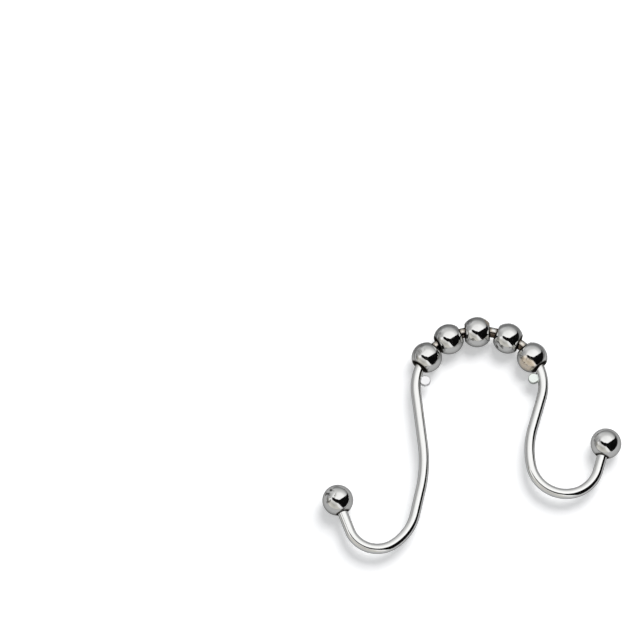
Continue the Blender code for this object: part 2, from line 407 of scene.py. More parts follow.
@dataclass(frozen=True)
class Run:
    """One stretch of the wire: a bend, or a straight stretch where its turn is 0. Left turns are positive."""

    name: str
    length: float
    turn: float = 0.0

    @classmethod
    def bend(cls, name: str, radius: float, degrees: float) -> "Run":
        """A bend of a given radius and angle."""
        turn = math.radians(degrees)
        return cls(name, radius * abs(turn), turn)

    @property
    def radius(self) -> float:
        """The radius of the bend."""
        return self.length / abs(self.turn)

    def after(self, point: Vector, heading: float, length: float) -> tuple[Vector, float]:
        """The place on the wire after a part of this run.

        Args:
            point: Where the run begins.
            heading: The wire's direction there.
            length: How far to go.

        Returns:
            The point and the heading.
        """
        if not self.turn:
            return point + length * Vector((math.cos(heading), math.sin(heading), 0.0)), heading
        turned = self.turn * length / self.length
        centre = self.centre(point, heading)
        return centre + Matrix.Rotation(turned, 3, "Z") @ (point - centre), heading + turned

    def centre(self, point: Vector, heading: float) -> Vector:
        """The centre of the bend that begins at a point."""
        side = math.copysign(self.radius, self.turn)
        return point + side * Vector((-math.sin(heading), math.cos(heading), 0.0))


@dataclass(frozen=True)
class WireRoute:
    """The wire's centre line, as the bends that the bending machine makes one after the other."""

    arch_centre: Point
    arch_radius: float = 0.0178
    runs: tuple[Run, ...] = (
        Run("Long Tip", 0.0101),
        Run.bend("Long Curl", 0.0078, 101.5),
        Run.bend("Long Hook", 0.0134, 45.0),
        Run("Long Calf", 0.0071),
        Run.bend("Long Knee", 0.038, 19.5),
        Run("Long Shank", 0.0146),
        Run.bend("Long Shoulder", 0.0154, -40.5),
        Run.bend("Long Half Of Arch", 0.0178, -56.0),
        Run.bend("Short Half Of Arch", 0.0178, -56.0),
        Run.bend("Short Shoulder", 0.0138, -50.5),
        Run("Short Shank", 0.009),
        Run.bend("Short Knee", 0.0235, 26.5),
        Run.bend("Short Hook", 0.0094, 72.0),
        Run.bend("Short Curl", 0.009, 81.0),
        Run("Short Tip", 0.0092),
    )
    crown_before: str = "Short Half Of Arch"

    @property
    def length(self) -> float:
        """The length of the whole wire."""
        return sum(run.length for run in self.runs)

    def number(self, name: str) -> int:
        """The number of a run, from 0."""
        return [run.name for run in self.runs].index(name)

    def before(self, name: str) -> float:
        """The distance along the wire at which a run begins."""
        return sum(run.length for run in self.runs[:self.number(name)])

    @property
    def crown(self) -> float:
        """The distance along the wire to the crown of the arch."""
        return self.before(self.crown_before)

    def follow(self, point: Vector, heading: float, distance: float) -> tuple[Vector, float]:
        """Follows the runs.

        Args:
            point: Where the first run begins.
            heading: The wire's direction there.
            distance: How far to go.

        Returns:
            The point and the heading that are reached.
        """
        for run in self.runs:
            length = min(distance, run.length)
            point, heading = run.after(point, heading, length)
            distance -= length
            if distance <= 0.0:
                break
        return point, heading

    def start(self) -> tuple[Vector, float]:
        """The end of the long leg, which follows from the place of the crown.

        Returns:
            The point and the heading from which the wire is drawn.
        """
        point, heading = self.follow(Vector((0.0, 0.0, 0.0)), 0.0, self.crown)
        crown = Vector(self.arch_centre) + Vector((0.0, self.arch_radius, 0.0))
        return crown - Matrix.Rotation(-heading, 3, "Z") @ point, -heading

    def at(self, distance: float) -> tuple[Vector, float]:
        """The point and the heading at a distance from the end of the long leg."""
        return self.follow(*self.start(), distance)

    def beside(self, place: Point) -> float:
        """The distance along the wire at which it passes a place on the arch."""
        away = Vector(place) - Vector(self.arch_centre)
        return self.crown + self.arch_radius * math.atan2(away.x, away.y)

    def bend_centre(self, name: str) -> tuple[Vector, float]:
        """The centre and the radius of a bend."""
        run = self.runs[self.number(name)]
        return run.centre(*self.at(self.before(name))), run.radius


@dataclass(frozen=True)
class Chrome:
    """Bright plating over nickel: clear on the whole, with fine lines from drawing and polishing, and with
    painted shade and painted dark reflections where its marks say.

    A band holds the two values of a pattern between which an effect fades in.
    """

    name: str
    plate: Colour = (0.66, 0.66, 0.65)
    edge: Colour = (0.42, 0.42, 0.42)
    under: Colour = (0.60, 0.53, 0.43)
    stain: Colour = (0.70, 0.61, 0.50)
    # Dark colour of stain spots on the balls, and of the painted shade on the wire between the balls.
    spot_and_shade: Colour = (0.20, 0.14, 0.09)
    # Near-black colour of the painted shade in bores and holes, and of the painted dark speckle that stands
    # for reflections.
    painted_dark: Colour = (0.05, 0.045, 0.04)
    roughness: float = 0.035
    roughness_spread: float = 0.05
    line_scale: float = 5200.0
    line_stretch: Point = (1.0, 1.0, 0.02)
    line_height: float = 0.0000006
    swell_scale: float = 420.0
    swell_height: float = 0.000004
    film_scale: float = 900.0
    cloud_scale: float = 700.0
    pit_scale: float = 1700.0
    rub_share: float = 0.75
    pit_edge: Band = (0.05, 0.14)
    worn_film: Band = (0.34, 0.62)
    stained_film: Band = (0.25, 0.50)
    spotted_film: Band = (0.30, 0.42)
    # These two break up the painted shade on the wire between the balls.
    painted_gap_shade_film: Band = (0.45, 0.60)
    painted_gap_shade_breaks: float = 0.15
    # These set the painted dark speckle that stands for reflections on the balls.
    mirror_speckle_cloud: Band = (0.52, 0.60)
    mirror_speckle_depth: float = 0.85
    rough_film: Band = (0.45, 0.75)
    film_roughness: float = 0.8
    line_roughness: float = 0.6
    worn_roughness: float = 0.03
    stain_roughness: float = 0.16
    pit_roughness: float = 0.06
    bore_roughness: float = 0.45
    roughness_limits: Band = (0.02, 0.6)

    def material(self) -> bpy.types.Material:
        """Builds the finish.

        Returns:
            A node-based material that reads the attributes lay, rub, stain, bore and two marks: one of
            painted shade on the wire by the balls, and one of painted dark speckle that stands for
            reflections. The bore mark gets painted shade, near-black.
        """
        tree = SurfaceTree(bpy.data.materials.new(self.name))
        lay = tree.attribute("lay", "Vector")
        marks = ("rub", "stain", "bore", "painted_gap_shade", "mirror_speckle")
        rub, stain, bore, painted_gap_shade, mirror_speckle = (tree.attribute(mark) for mark in marks)
        lines = tree.noise(lay * self.line_stretch, self.line_scale, Detail=3.0)
        swell = tree.noise(lay, self.swell_scale, Detail=1.0)
        film = tree.noise(lay, self.film_scale, Detail=4.0, Roughness=0.6)
        cloud = tree.noise(lay, self.cloud_scale, Detail=2.0)
        pits = tree.signal(
            "ShaderNodeTexVoronoi", {"feature": "F1"}, {"Vector": lay, "Scale": self.pit_scale}, "Distance"
        )
        pit = 1.0 - pits.smooth(*self.pit_edge)

        worn = (rub * film.smooth(*self.worn_film) * self.rub_share).clamped()
        stained = (stain * film.smooth(*self.stained_film)).clamped()
        # Stain spots, plus the painted shade on the wire next to the balls, in one dark colour.
        whole = 1.0 - self.painted_gap_shade_breaks * film.smooth(*self.painted_gap_shade_film)
        spots_and_gap_shade = stain * (1.0 - film.smooth(*self.spotted_film)) + painted_gap_shade * whole
        # Painted shade in the bores and holes, and painted dark speckle that stands for reflections, both
        # near-black.
        painted_dark_share = bore.most(self.mirror_speckle_depth * mirror_speckle * cloud.smooth(*self.mirror_speckle_cloud))
        colour = tree.blend(worn, self.plate, self.under)
        colour = tree.blend(stained, colour, self.stain)
        colour = tree.blend(spots_and_gap_shade.clamped(), colour, self.spot_and_shade)
        colour = tree.blend(painted_dark_share, colour, self.painted_dark)
        uneven = self.line_roughness * lines + self.film_roughness * film.smooth(*self.rough_film)
        rough = self.roughness + self.roughness_spread * uneven
        rough = rough + self.worn_roughness * worn + self.stain_roughness * stained
        rough = rough + self.pit_roughness * pit * rub + self.bore_roughness * bore
        rough = rough.clamped(*self.roughness_limits)
        height = self.line_height * lines + self.swell_height * swell - self.line_height * pit
        bump = tree.node("ShaderNodeBump", {}, {"Strength": 1.0, "Distance": 1.0, "Height": height})
        return tree.finish(tree.node("ShaderNodeBsdfPrincipled", {}, {
            "Base Color": colour, "Metallic": 1.0, "Roughness": rough, "Normal": bump.outputs[0],
            "Specular Tint": self.edge,
        }))


def write_floats(mesh: bpy.types.Mesh, name: str, values: list[float]) -> None:
    """Writes one number on each point of a mesh, as a named attribute."""
    mesh.attributes.new(name, "FLOAT", "POINT").data.foreach_set("value", values)


def soft_step(value: float, low: float, high: float) -> float:
    """A soft step from 0 at low to 1 at high."""
    share = min(1.0, max(0.0, (value - low) / (high - low)))
    return share * share * (3.0 - 2.0 * share)


def write_patches(mesh: bpy.types.Mesh, name: str, centre: Vector) -> None:
    """Marks the patches of a ball. Where two of one kind meet, the stronger one counts.

    Args:
        mesh: The ball's mesh.
        name: The ball's node.
        centre: The centre of the ball.
    """
    directions = [(vertex.co - centre).normalized() for vertex in mesh.vertices]
    marks: dict[str, list[float]] = {}
    for patch in PATCHES.get(name, ()):
        levels = [patch.level(direction) for direction in directions]
        marks[patch.mark] = [max(pair) for pair in zip(levels, marks.get(patch.mark, levels))]
    for mark, values in marks.items():
        write_floats(mesh, mark, values)


def place_piece(piece: bpy.types.Object, body: str, slot: Slot, *nodes: str) -> None:
    """Gives a finished piece its body and hides the nodes that it stands for.

    Args:
        piece: The piece, in place.
        body: The body that it moves with.
        slot: The material slot; not used.
        nodes: The nodes that it replaces.
    """
    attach(piece, body)
    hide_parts(*nodes)
    LOG.info("%s: %d faces, rides on %s", piece.name, len(piece.data.polygons), body)


@dataclass(frozen=True)
class HookWire:
    """The wire of the hook, drawn through its bends with cut and chamfered ends."""

    route: WireRoute
    finish: Chrome
    diameter: float = 0.00275
    end_chamfer: float = 0.0003
    stations: int = 1300
    sides: int = 48
    rub_fade: float = 0.004
    balls: tuple[float, ...] = ()
    ball_half_length: float = 0.00335
    # The wire is darkened next to each ball and along the arch's inner side: painted shade between the balls.
    painted_gap_shade_width: float = 0.0007
    painted_gap_shade_inwards: float = 0.35

    def tree(self) -> MeshTree:
        """Builds the tree that bends the wire.

        Returns:
            The tree. Each run of the route is a pair of inputs, its length and its turn.
        """
        start, heading = self.route.start()
        inputs: dict[str, Feed] = {
            "Finish": self.finish.material(), "Wire Diameter": self.diameter, "End Chamfer": self.end_chamfer,
            "Stations": self.stations, "Sides": self.sides, "Start": tuple(start), "Start Heading": heading,
            "Rub Begin": self.route.before("Long Half Of Arch") - self.rub_fade,
            "Rub End": self.route.before("Short Shoulder") + self.rub_fade, "Rub Fade": self.rub_fade,
            "Painted Gap Shade From": self.ball_half_length, "Painted Gap Shade Width": self.painted_gap_shade_width,
            "Arch Centre": tuple(self.route.arch_centre), "Arch Radius": self.route.arch_radius,
        }
        for number, distance in enumerate(self.balls, 1):
            inputs[f"Ball {number}"] = distance
        for run in self.route.runs:
            inputs[f"{run.name} Length"] = run.length
            inputs[f"{run.name} Turn"] = run.turn
        tree = MeshTree("bent_wire", inputs)

        index = tree.signal("GeometryNodeInputIndex")
        total = tree.size(f"{self.route.runs[0].name} Length")
        begins: list[Feed] = [0.0]
        for run in self.route.runs[1:]:
            begins.append(total)
            total = total + tree.size(f"{run.name} Length")
        step = total / (tree.size("Stations") - 1.0)
        travel = index * step
        middle = travel - 0.5 * step
        bearing = tree.size("Start Heading")
        for run, begin in zip(self.route.runs, begins):
            if run.turn:
                share = ((middle - begin) / tree.size(f"{run.name} Length")).clamped()
                bearing = bearing + tree.size(f"{run.name} Turn") * share
        ahead = tree.vector(*bearing.circle(), 0.0) * step
        first = tree.signal(
            "FunctionNodeCompare", {"data_type": "INT", "operation": "EQUAL"}, {2: index, 3: 0}
        )
        move = tree.signal(
            "GeometryNodeSwitch", {"input_type": "VECTOR"}, {0: first, 1: ahead, 2: tree.size("Start")}
        )
        place = tree.signal(
            "GeometryNodeAccumulateField", {"data_type": "FLOAT_VECTOR", "domain": "POINT"}, {0: move},
            "Leading",
        )

        line = tree.step("GeometryNodeMeshLine", {"Count": tree.size("Stations")})
        line = tree.store(line, "travel", travel)
        line = tree.step("GeometryNodeSetPosition", {"Geometry": line, "Position": place})
        curve = tree.step("GeometryNodeMeshToCurve", {"Mesh": line})
        radius = 0.5 * tree.size("Wire Diameter")
        from_end = travel.least(total - travel)
        cut = (tree.size("End Chamfer") - from_end).most(0.0)
        curve = tree.step("GeometryNodeSetCurveRadius", {"Curve": curve, "Radius": (radius - cut) / radius})
        ring = tree.step(
            "GeometryNodeCurvePrimitiveCircle", {"Resolution": tree.size("Sides"), "Radius": radius}
        )
        ring = tree.store(ring, "round_it", tree.signal("GeometryNodeInputPosition"))
        sweep = tree.step("GeometryNodeCurveToMesh", {
            "Curve": curve, "Profile Curve": ring, "Scale": tree.signal("GeometryNodeInputRadius"),
            "Fill Caps": True,
        })
        across_x, across_y, _ = tree.named("round_it", "FLOAT_VECTOR").parts()
        far = tree.named("travel")
        sweep = tree.store(sweep, "lay", tree.vector(across_x, across_y, far))
        fade = tree.size("Rub Fade")
        rise = ((far - tree.size("Rub Begin")) / fade).clamped()
        fall = ((tree.size("Rub End") - far) / fade).clamped()
        sweep = tree.store(sweep, "rub", rise * fall)
        # Painted shade: a mark that is 1 within a short width of each ball's ends and on the inner side of
        # the arch, which the finish paints dark.
        near = fade
        for number in range(1, len(self.balls) + 1):
            near = near.least((far - tree.size(f"Ball {number}")).absolute() - tree.size("Painted Gap Shade From"))
        painted_gap_shade = 1.0 - (near / tree.size("Painted Gap Shade Width")).clamped()
        reach = tree.signal("GeometryNodeInputPosition") - tree.size("Arch Centre")
        inwards = (tree.size("Arch Radius") - (reach * (1.0, 1.0, 0.0)).length()) / radius
        painted_gap_shade = painted_gap_shade.most(inwards.smooth(0.0, self.painted_gap_shade_inwards)) * rise * fall
        sweep = tree.store(sweep, "painted_gap_shade", painted_gap_shade)
        tree.close(sweep)
        return tree

    def make(self) -> None:
        """Draws the wire and dresses it."""
        place_piece(self.tree().grow("bent_wire"), HOOK_BODY, Slot.WIRE, "hook_wire")


@dataclass(frozen=True)
class WeldedStop:
    """A flat round disc at the inner side of a leg, joined to the wire by a soft weld."""

    route: WireRoute
    finish: Chrome
    leg: Leg
    centre: Point
    bend: str
    diameter: float = 0.00285
    height: float = 0.0013
    edge: float = 0.00025
    wire_diameter: float = 0.00275
    wire_undercut: float = 0.00003
    weld: float = 0.0005
    collar: float = 0.0026
    voxel: float = 0.00005
    margin_voxels: float = 4.0
    fog_slope: float = 1000.0

    def tree(self) -> MeshTree:
        """Builds the tree of the disc and its weld.

        Returns:
            The tree. Its distances join softly where the disc meets the wire.
        """
        bend_centre, bend_radius = self.route.bend_centre(self.bend)
        half = self.collar + self.margin_voxels * self.voxel
        tree = MeshTree(f"{self.leg.value}_stop", {
            "Finish": self.finish.material(), "Disc Diameter": self.diameter, "Disc Height": self.height,
            "Edge Radius": self.edge, "Wire Radius": self.wire_diameter / 2 - self.wire_undercut,
            "Weld": self.weld, "Collar": self.collar, "Place": tuple(self.centre),
            "Bend Centre": tuple(bend_centre - Vector(self.centre)), "Bend Radius": bend_radius,
            "Cells": round(2.0 * half / self.voxel), "Half": half,
        })
        here = tree.signal("GeometryNodeInputPosition")
        x, y, z = here.parts()
        edge = tree.size("Edge Radius")
        out = tree.vector(x, y, 0.0).length() - (0.5 * tree.size("Disc Diameter") - edge)
        up = z.absolute() - (0.5 * tree.size("Disc Height") - edge)
        inside = out.most(up).least(0.0)
        disc = inside + tree.vector(out.most(0.0), up.most(0.0), 0.0).length() - edge
        bx, by, bz = (here - tree.size("Bend Centre")).parts()
        ring = tree.vector(bx, by, 0.0).length() - tree.size("Bend Radius")
        wire = tree.vector(ring, bz, 0.0).length() - tree.size("Wire Radius")
        wire = wire.most(here.length() - tree.size("Collar"))
        weld = tree.size("Weld")
        share = (0.5 + 0.5 * (wire - disc) / weld).clamped()
        joined = wire * (1.0 - share) + disc * share - weld * share * (1.0 - share)
        half_size = tree.size("Half")
        cells = tree.size("Cells")
        volume = tree.step("GeometryNodeVolumeCube", {
            "Density": 1.0 - self.fog_slope * joined, "Min": half_size * -1.0, "Max": half_size,
            "Resolution X": cells, "Resolution Y": cells, "Resolution Z": cells,
        })
        skin = tree.step(
            "GeometryNodeVolumeToMesh", {"Volume": volume, "Threshold": 1.0, "Adaptivity": 0.0}
        )
        skin = tree.store(skin, "lay", tree.signal("GeometryNodeInputPosition"))
        skin = tree.step("GeometryNodeSetPosition", {"Geometry": skin, "Offset": tree.size("Place")})
        tree.close(skin)
        return tree

    def make(self) -> None:
        """Builds the stop and dresses it."""
        place_piece(self.tree().grow(f"{self.leg.value}_stop"), HOOK_BODY, Slot.WIRE, "hook_wire")


@dataclass(frozen=True)
class Turning:
    """A ball turned round its axis from a section of (radius, height) points, and laid along the wire.

    The marks say how worn (rub) and how deep in the hole (bore) each point is, and the finish paints shade in
    the hole by the bore mark. The seed shifts the patterns, so that no two balls are alike.
    """

    node: str
    finish: Chrome
    place: Vector
    ahead: Vector
    profile: Profile
    marks: dict[str, list[float]]
    seed: float
    sides: int = 120
    seam_width: float = 2e-7

    def section(self) -> bpy.types.Mesh:
        """Writes the section as a mesh of loose points.

        Returns:
            The mesh.
        """
        mesh = bpy.data.meshes.new(self.node)
        mesh.from_pydata([(radius, 0.0, height) for radius, height in self.profile], [], [])
        for title, values in self.marks.items():
            write_floats(mesh, title, values)
        write_floats(mesh, "seed", [self.seed] * len(self.profile))
        return mesh

    def tree(self) -> MeshTree:
        """Builds the tree that turns the section.

        Returns:
            The tree.
        """
        turn = self.ahead.to_track_quat("Z", "Y").to_euler()
        tree = MeshTree(f"{self.node}_turning", {
            "Finish": self.finish.material(), "Sides": self.sides, "Section Points": len(self.profile),
            "Place": tuple(self.place), "Turn": tuple(turn),
        })
        source = tree.entry.outputs["Geometry"]
        index = tree.signal("GeometryNodeInputIndex")
        rows = tree.size("Section Points")
        ring = index.combine("FLOOR", (index + 0.5) / rows)
        row = index - ring * rows

        def sample(value: Signal) -> Signal:
            """A value of the section at this point's row."""
            return tree.signal(
                "GeometryNodeSampleIndex", {"data_type": value.kind, "domain": "POINT"},
                {"Geometry": source, "Value": value, "Index": row},
            )

        radius, _, height = sample(tree.signal("GeometryNodeInputPosition")).parts()
        seed = sample(tree.named("seed"))
        cosine, sine = (ring * math.tau / tree.size("Sides")).circle()
        own = tree.vector(radius * cosine, radius * sine, height)
        sheet = tree.step("GeometryNodeMeshGrid", {"Vertices X": tree.size("Sides") + 1, "Vertices Y": rows})
        for title in ("rub", "bore"):
            sheet = tree.store(sheet, title, sample(tree.named(title)))
        sheet = tree.store(sheet, "lay", own + tree.vector(seed, seed, seed))
        sheet = tree.step("GeometryNodeSetPosition", {"Geometry": sheet, "Position": own})
        whole = tree.step("GeometryNodeMergeByDistance", {"Geometry": sheet, "Distance": self.seam_width})
        tree.close(tree.step(
            "GeometryNodeTransform",
            {"Geometry": whole, "Translation": tree.size("Place"), "Rotation": tree.size("Turn")},
        ))
        return tree

    def make(self, body: str, slot: Slot) -> None:
        """Turns the ball, with its faces outwards, marks its patches and dresses it.

        Args:
            body: The body that it moves with.
            slot: The material slot.
        """
        piece = self.tree().grow(f"{self.node}_turned", self.section())
        first = max(piece.data.polygons, key=lambda face: (face.center - self.place).length)
        if first.normal.dot(first.center - self.place) < 0.0:
            piece.data.flip_normals()
        write_patches(piece.data, self.node, self.place)
        place_piece(piece, body, slot, self.node)


def arc(radius: float, begin: float, end: float, steps: int, centre: Band = (0.0, 0.0)) -> Profile:
    """Points on a circle.

    Args:
        radius: The circle's radius.
        begin: The first angle, from the direction of +radius.
        end: The last angle.
        steps: The number of steps.
        centre: The circle's centre, as (radius, height).

    Returns:
        The (radius, height) points.
    """
    angles = [begin + (end - begin) * step / steps for step in range(steps + 1)]
    return [(centre[0] + radius * math.cos(a), centre[1] + radius * math.sin(a)) for a in angles]


@dataclass(frozen=True)
class TipBall:
    """The ball that closes a wire end, drilled from one side for the wire."""

    route: WireRoute
    finish: Chrome
    leg: Leg
    diameter: float = 0.00825
    hole_radius: float = 0.001525
    lip_radius: float = 0.00014
    wire_past_centre: float = 0.001
    end_clearance: float = 0.0003
    drill_point_degrees: float = 118.0
    rim_height: float = 0.0038
    rub_depth: float = 0.0007
    neck_gap: float = 0.0001
    neck_width: float = 0.00045
    outside_steps: int = 56
    lip_steps: int = 8
    long_seed: float = 0.11
    short_seed: float = 0.23

    def profile(self) -> Profile:
        """Draws the section.

        Returns:
            The ball, a rounded lip, the hole's wall and its drilled end.
        """
        ball = self.diameter / 2
        lip_centre = self.hole_radius + self.lip_radius
        lip_height = -math.sqrt((ball - self.lip_radius) ** 2 - lip_centre ** 2)
        lip_angle = math.atan2(lip_height, lip_centre)
        floor = self.wire_past_centre + self.end_clearance
        point = floor + self.hole_radius / math.tan(math.radians(self.drill_point_degrees / 2))
        outside = arc(ball, math.pi / 2, lip_angle, self.outside_steps)
        lip = arc(self.lip_radius, lip_angle, -math.pi, self.lip_steps, (lip_centre, lip_height))
        return [(0.0, ball), *outside[1:-1], *lip, (self.hole_radius, floor), (0.0, point)]

    def make(self) -> None:
        """Turns the ball and puts it on its wire end."""
        long_leg = self.leg is Leg.LONG
        place, heading = self.route.at(
            self.wire_past_centre if long_leg else self.route.length - self.wire_past_centre
        )
        ahead = (-1.0 if long_leg else 1.0) * Vector((math.cos(heading), math.sin(heading), 0.0))
        profile = self.profile()
        rims = [math.hypot(radius - self.hole_radius, height + self.rim_height) for radius, height in profile]
        neck = self.hole_radius + self.lip_radius
        lower = self.diameter / 4
        marks = {
            "rub": [1.0 - soft_step(apart, 0.0, self.rub_depth) for apart in rims],
            # The bore mark covers the hole's wall and lip, where the finish paints shade.
            "bore": [
                1.0 - soft_step(radius - neck, self.neck_gap, self.neck_width) if height < lower else 0.0
                for radius, height in profile
            ],
        }
        Turning(
            f"{self.leg.value}_tip_ball", self.finish, place, ahead, profile, marks,
            self.long_seed if long_leg else self.short_seed,
        ).make(HOOK_BODY, Slot.TIP_BALL)


@dataclass(frozen=True)
class RollerBall:
    """A bored ball whose mouths flare, so that it can follow the curved wire."""

    finish: Chrome
    node: str
    place: Point
    axis: Point
    diameter: float = 0.00825
    bore_radius: float = 0.001875
    mouth_flare: float = 0.0004
    flare_depth: float = 0.0012
    lip_radius: float = 0.00012
    rub_depth: float = 0.0006
    mouth_width: float = 0.0004
    outside_steps: int = 64
    lip_steps: int = 7
    flare_steps: int = 12
    seed_step: float = 0.37

    def profile(self) -> Profile:
        """Draws the section.

        Returns:
            The ball, two rounded lips, two flares and the bore.
        """
        ball = self.diameter / 2
        lip_centre = self.bore_radius + self.mouth_flare + self.lip_radius
        lip_height = math.sqrt((ball - self.lip_radius) ** 2 - lip_centre ** 2)
        lip_angle = math.atan2(lip_height, lip_centre)
        outside = arc(ball, -lip_angle, lip_angle, self.outside_steps)
        lip = arc(self.lip_radius, lip_angle, math.pi, self.lip_steps, (lip_centre, lip_height))
        angles = [step / self.flare_steps * math.pi / 2 for step in range(1, self.flare_steps + 1)]
        flare = [
            (
                self.bore_radius + self.mouth_flare * (1.0 - math.sin(angle)),
                lip_height - self.flare_depth * (1.0 - math.cos(angle)),
            )
            for angle in angles
        ]
        upper = [*lip[1:], *flare]
        lower = [(radius, -height) for radius, height in reversed(upper)]
        return [*outside, *upper, *lower, outside[0]]

    def rim(self, radius: float, height: float) -> float:
        """How near a point of the section is to a mouth.

        Args:
            radius: The point's radius.
            height: Its height.

        Returns:
            A share, from 0 to 1 at the mouth's rim.
        """
        mouth = self.bore_radius + self.mouth_flare
        rim_height = math.sqrt((self.diameter / 2) ** 2 - mouth ** 2)
        apart = math.hypot(radius - mouth, abs(height) - rim_height)
        return 1.0 - soft_step(apart, 0.0, self.rub_depth)

    def make(self) -> None:
        """Turns the roller and threads it on the wire."""
        profile = self.profile()
        mouth = self.bore_radius + self.mouth_flare + self.lip_radius
        marks = {
            "rub": [self.rim(radius, height) for radius, height in profile],
            # The bore mark covers the bore, its flares and the mouth's rim, where the finish paints shade.
            "bore": [1.0 - soft_step(radius - mouth, 0.0, self.mouth_width) for radius, _ in profile],
        }
        Turning(
            self.node, self.finish, Vector(self.place), Vector(self.axis), profile, marks,
            self.seed_step * int(self.node[-1]),
        ).make(self.node, Slot.ROLLER)


@dataclass(frozen=True)
class Card:
    """A bent card of the studio: a patch of a dome round the hook.

    A corner is (azimuth, near edge, far edge, light at the near edge, light at the far edge). The azimuth and
    the edges are in degrees, the edges from straight up.
    """

    name: str
    distance: float
    tint: Colour
    corners: tuple[tuple[float, ...], ...]
    rows: int = 16
    step_degrees: float = 3.0

    def make(self) -> None:
        """Builds the card."""
        columns: list[list[float]] = []
        for left, right in zip(self.corners, self.corners[1:]):
            steps = max(1, round(abs(right[0] - left[0]) / self.step_degrees))
            columns += [[a + (b - a) * step / steps for a, b in zip(left, right)] for step in range(steps)]
        columns.append(list(self.corners[-1]))
        points: list[Vector] = []
        levels: list[float] = []
        for azimuth, near, far, near_level, far_level in columns:
            turn = math.radians(azimuth)
            for row in range(self.rows + 1):
                share = row / self.rows
                polar = math.radians(near + (far - near) * share)
                out = self.distance * math.sin(polar)
                up = self.distance * math.cos(polar)
                points.append(Vector((out * math.cos(turn), out * math.sin(turn), up)))
                levels.append(near_level + (far_level - near_level) * share)
        row_points = self.rows + 1
        firsts = [c * row_points + r for c in range(len(columns) - 1) for r in range(self.rows)]
        faces = [(first, first + 1, first + row_points + 1, first + row_points) for first in firsts]
        mesh = bpy.data.meshes.new(self.name)
        mesh.from_pydata(points, [], faces)
        write_floats(mesh, "level", levels)
        mesh.materials.append(self.material())
        card = add_object(self.name, mesh)
        card.visible_camera = False
        card.visible_diffuse = False
        card.visible_shadow = False
        LOG.info("%s: card of %d faces", self.name, len(faces))

    def material(self) -> bpy.types.Material:
        """The card's even light, scaled by the attribute level."""
        tree = SurfaceTree(bpy.data.materials.new(self.name))
        return tree.finish(tree.node(
            "ShaderNodeEmission", {}, {"Color": self.tint, "Strength": tree.attribute("level")},
        ))


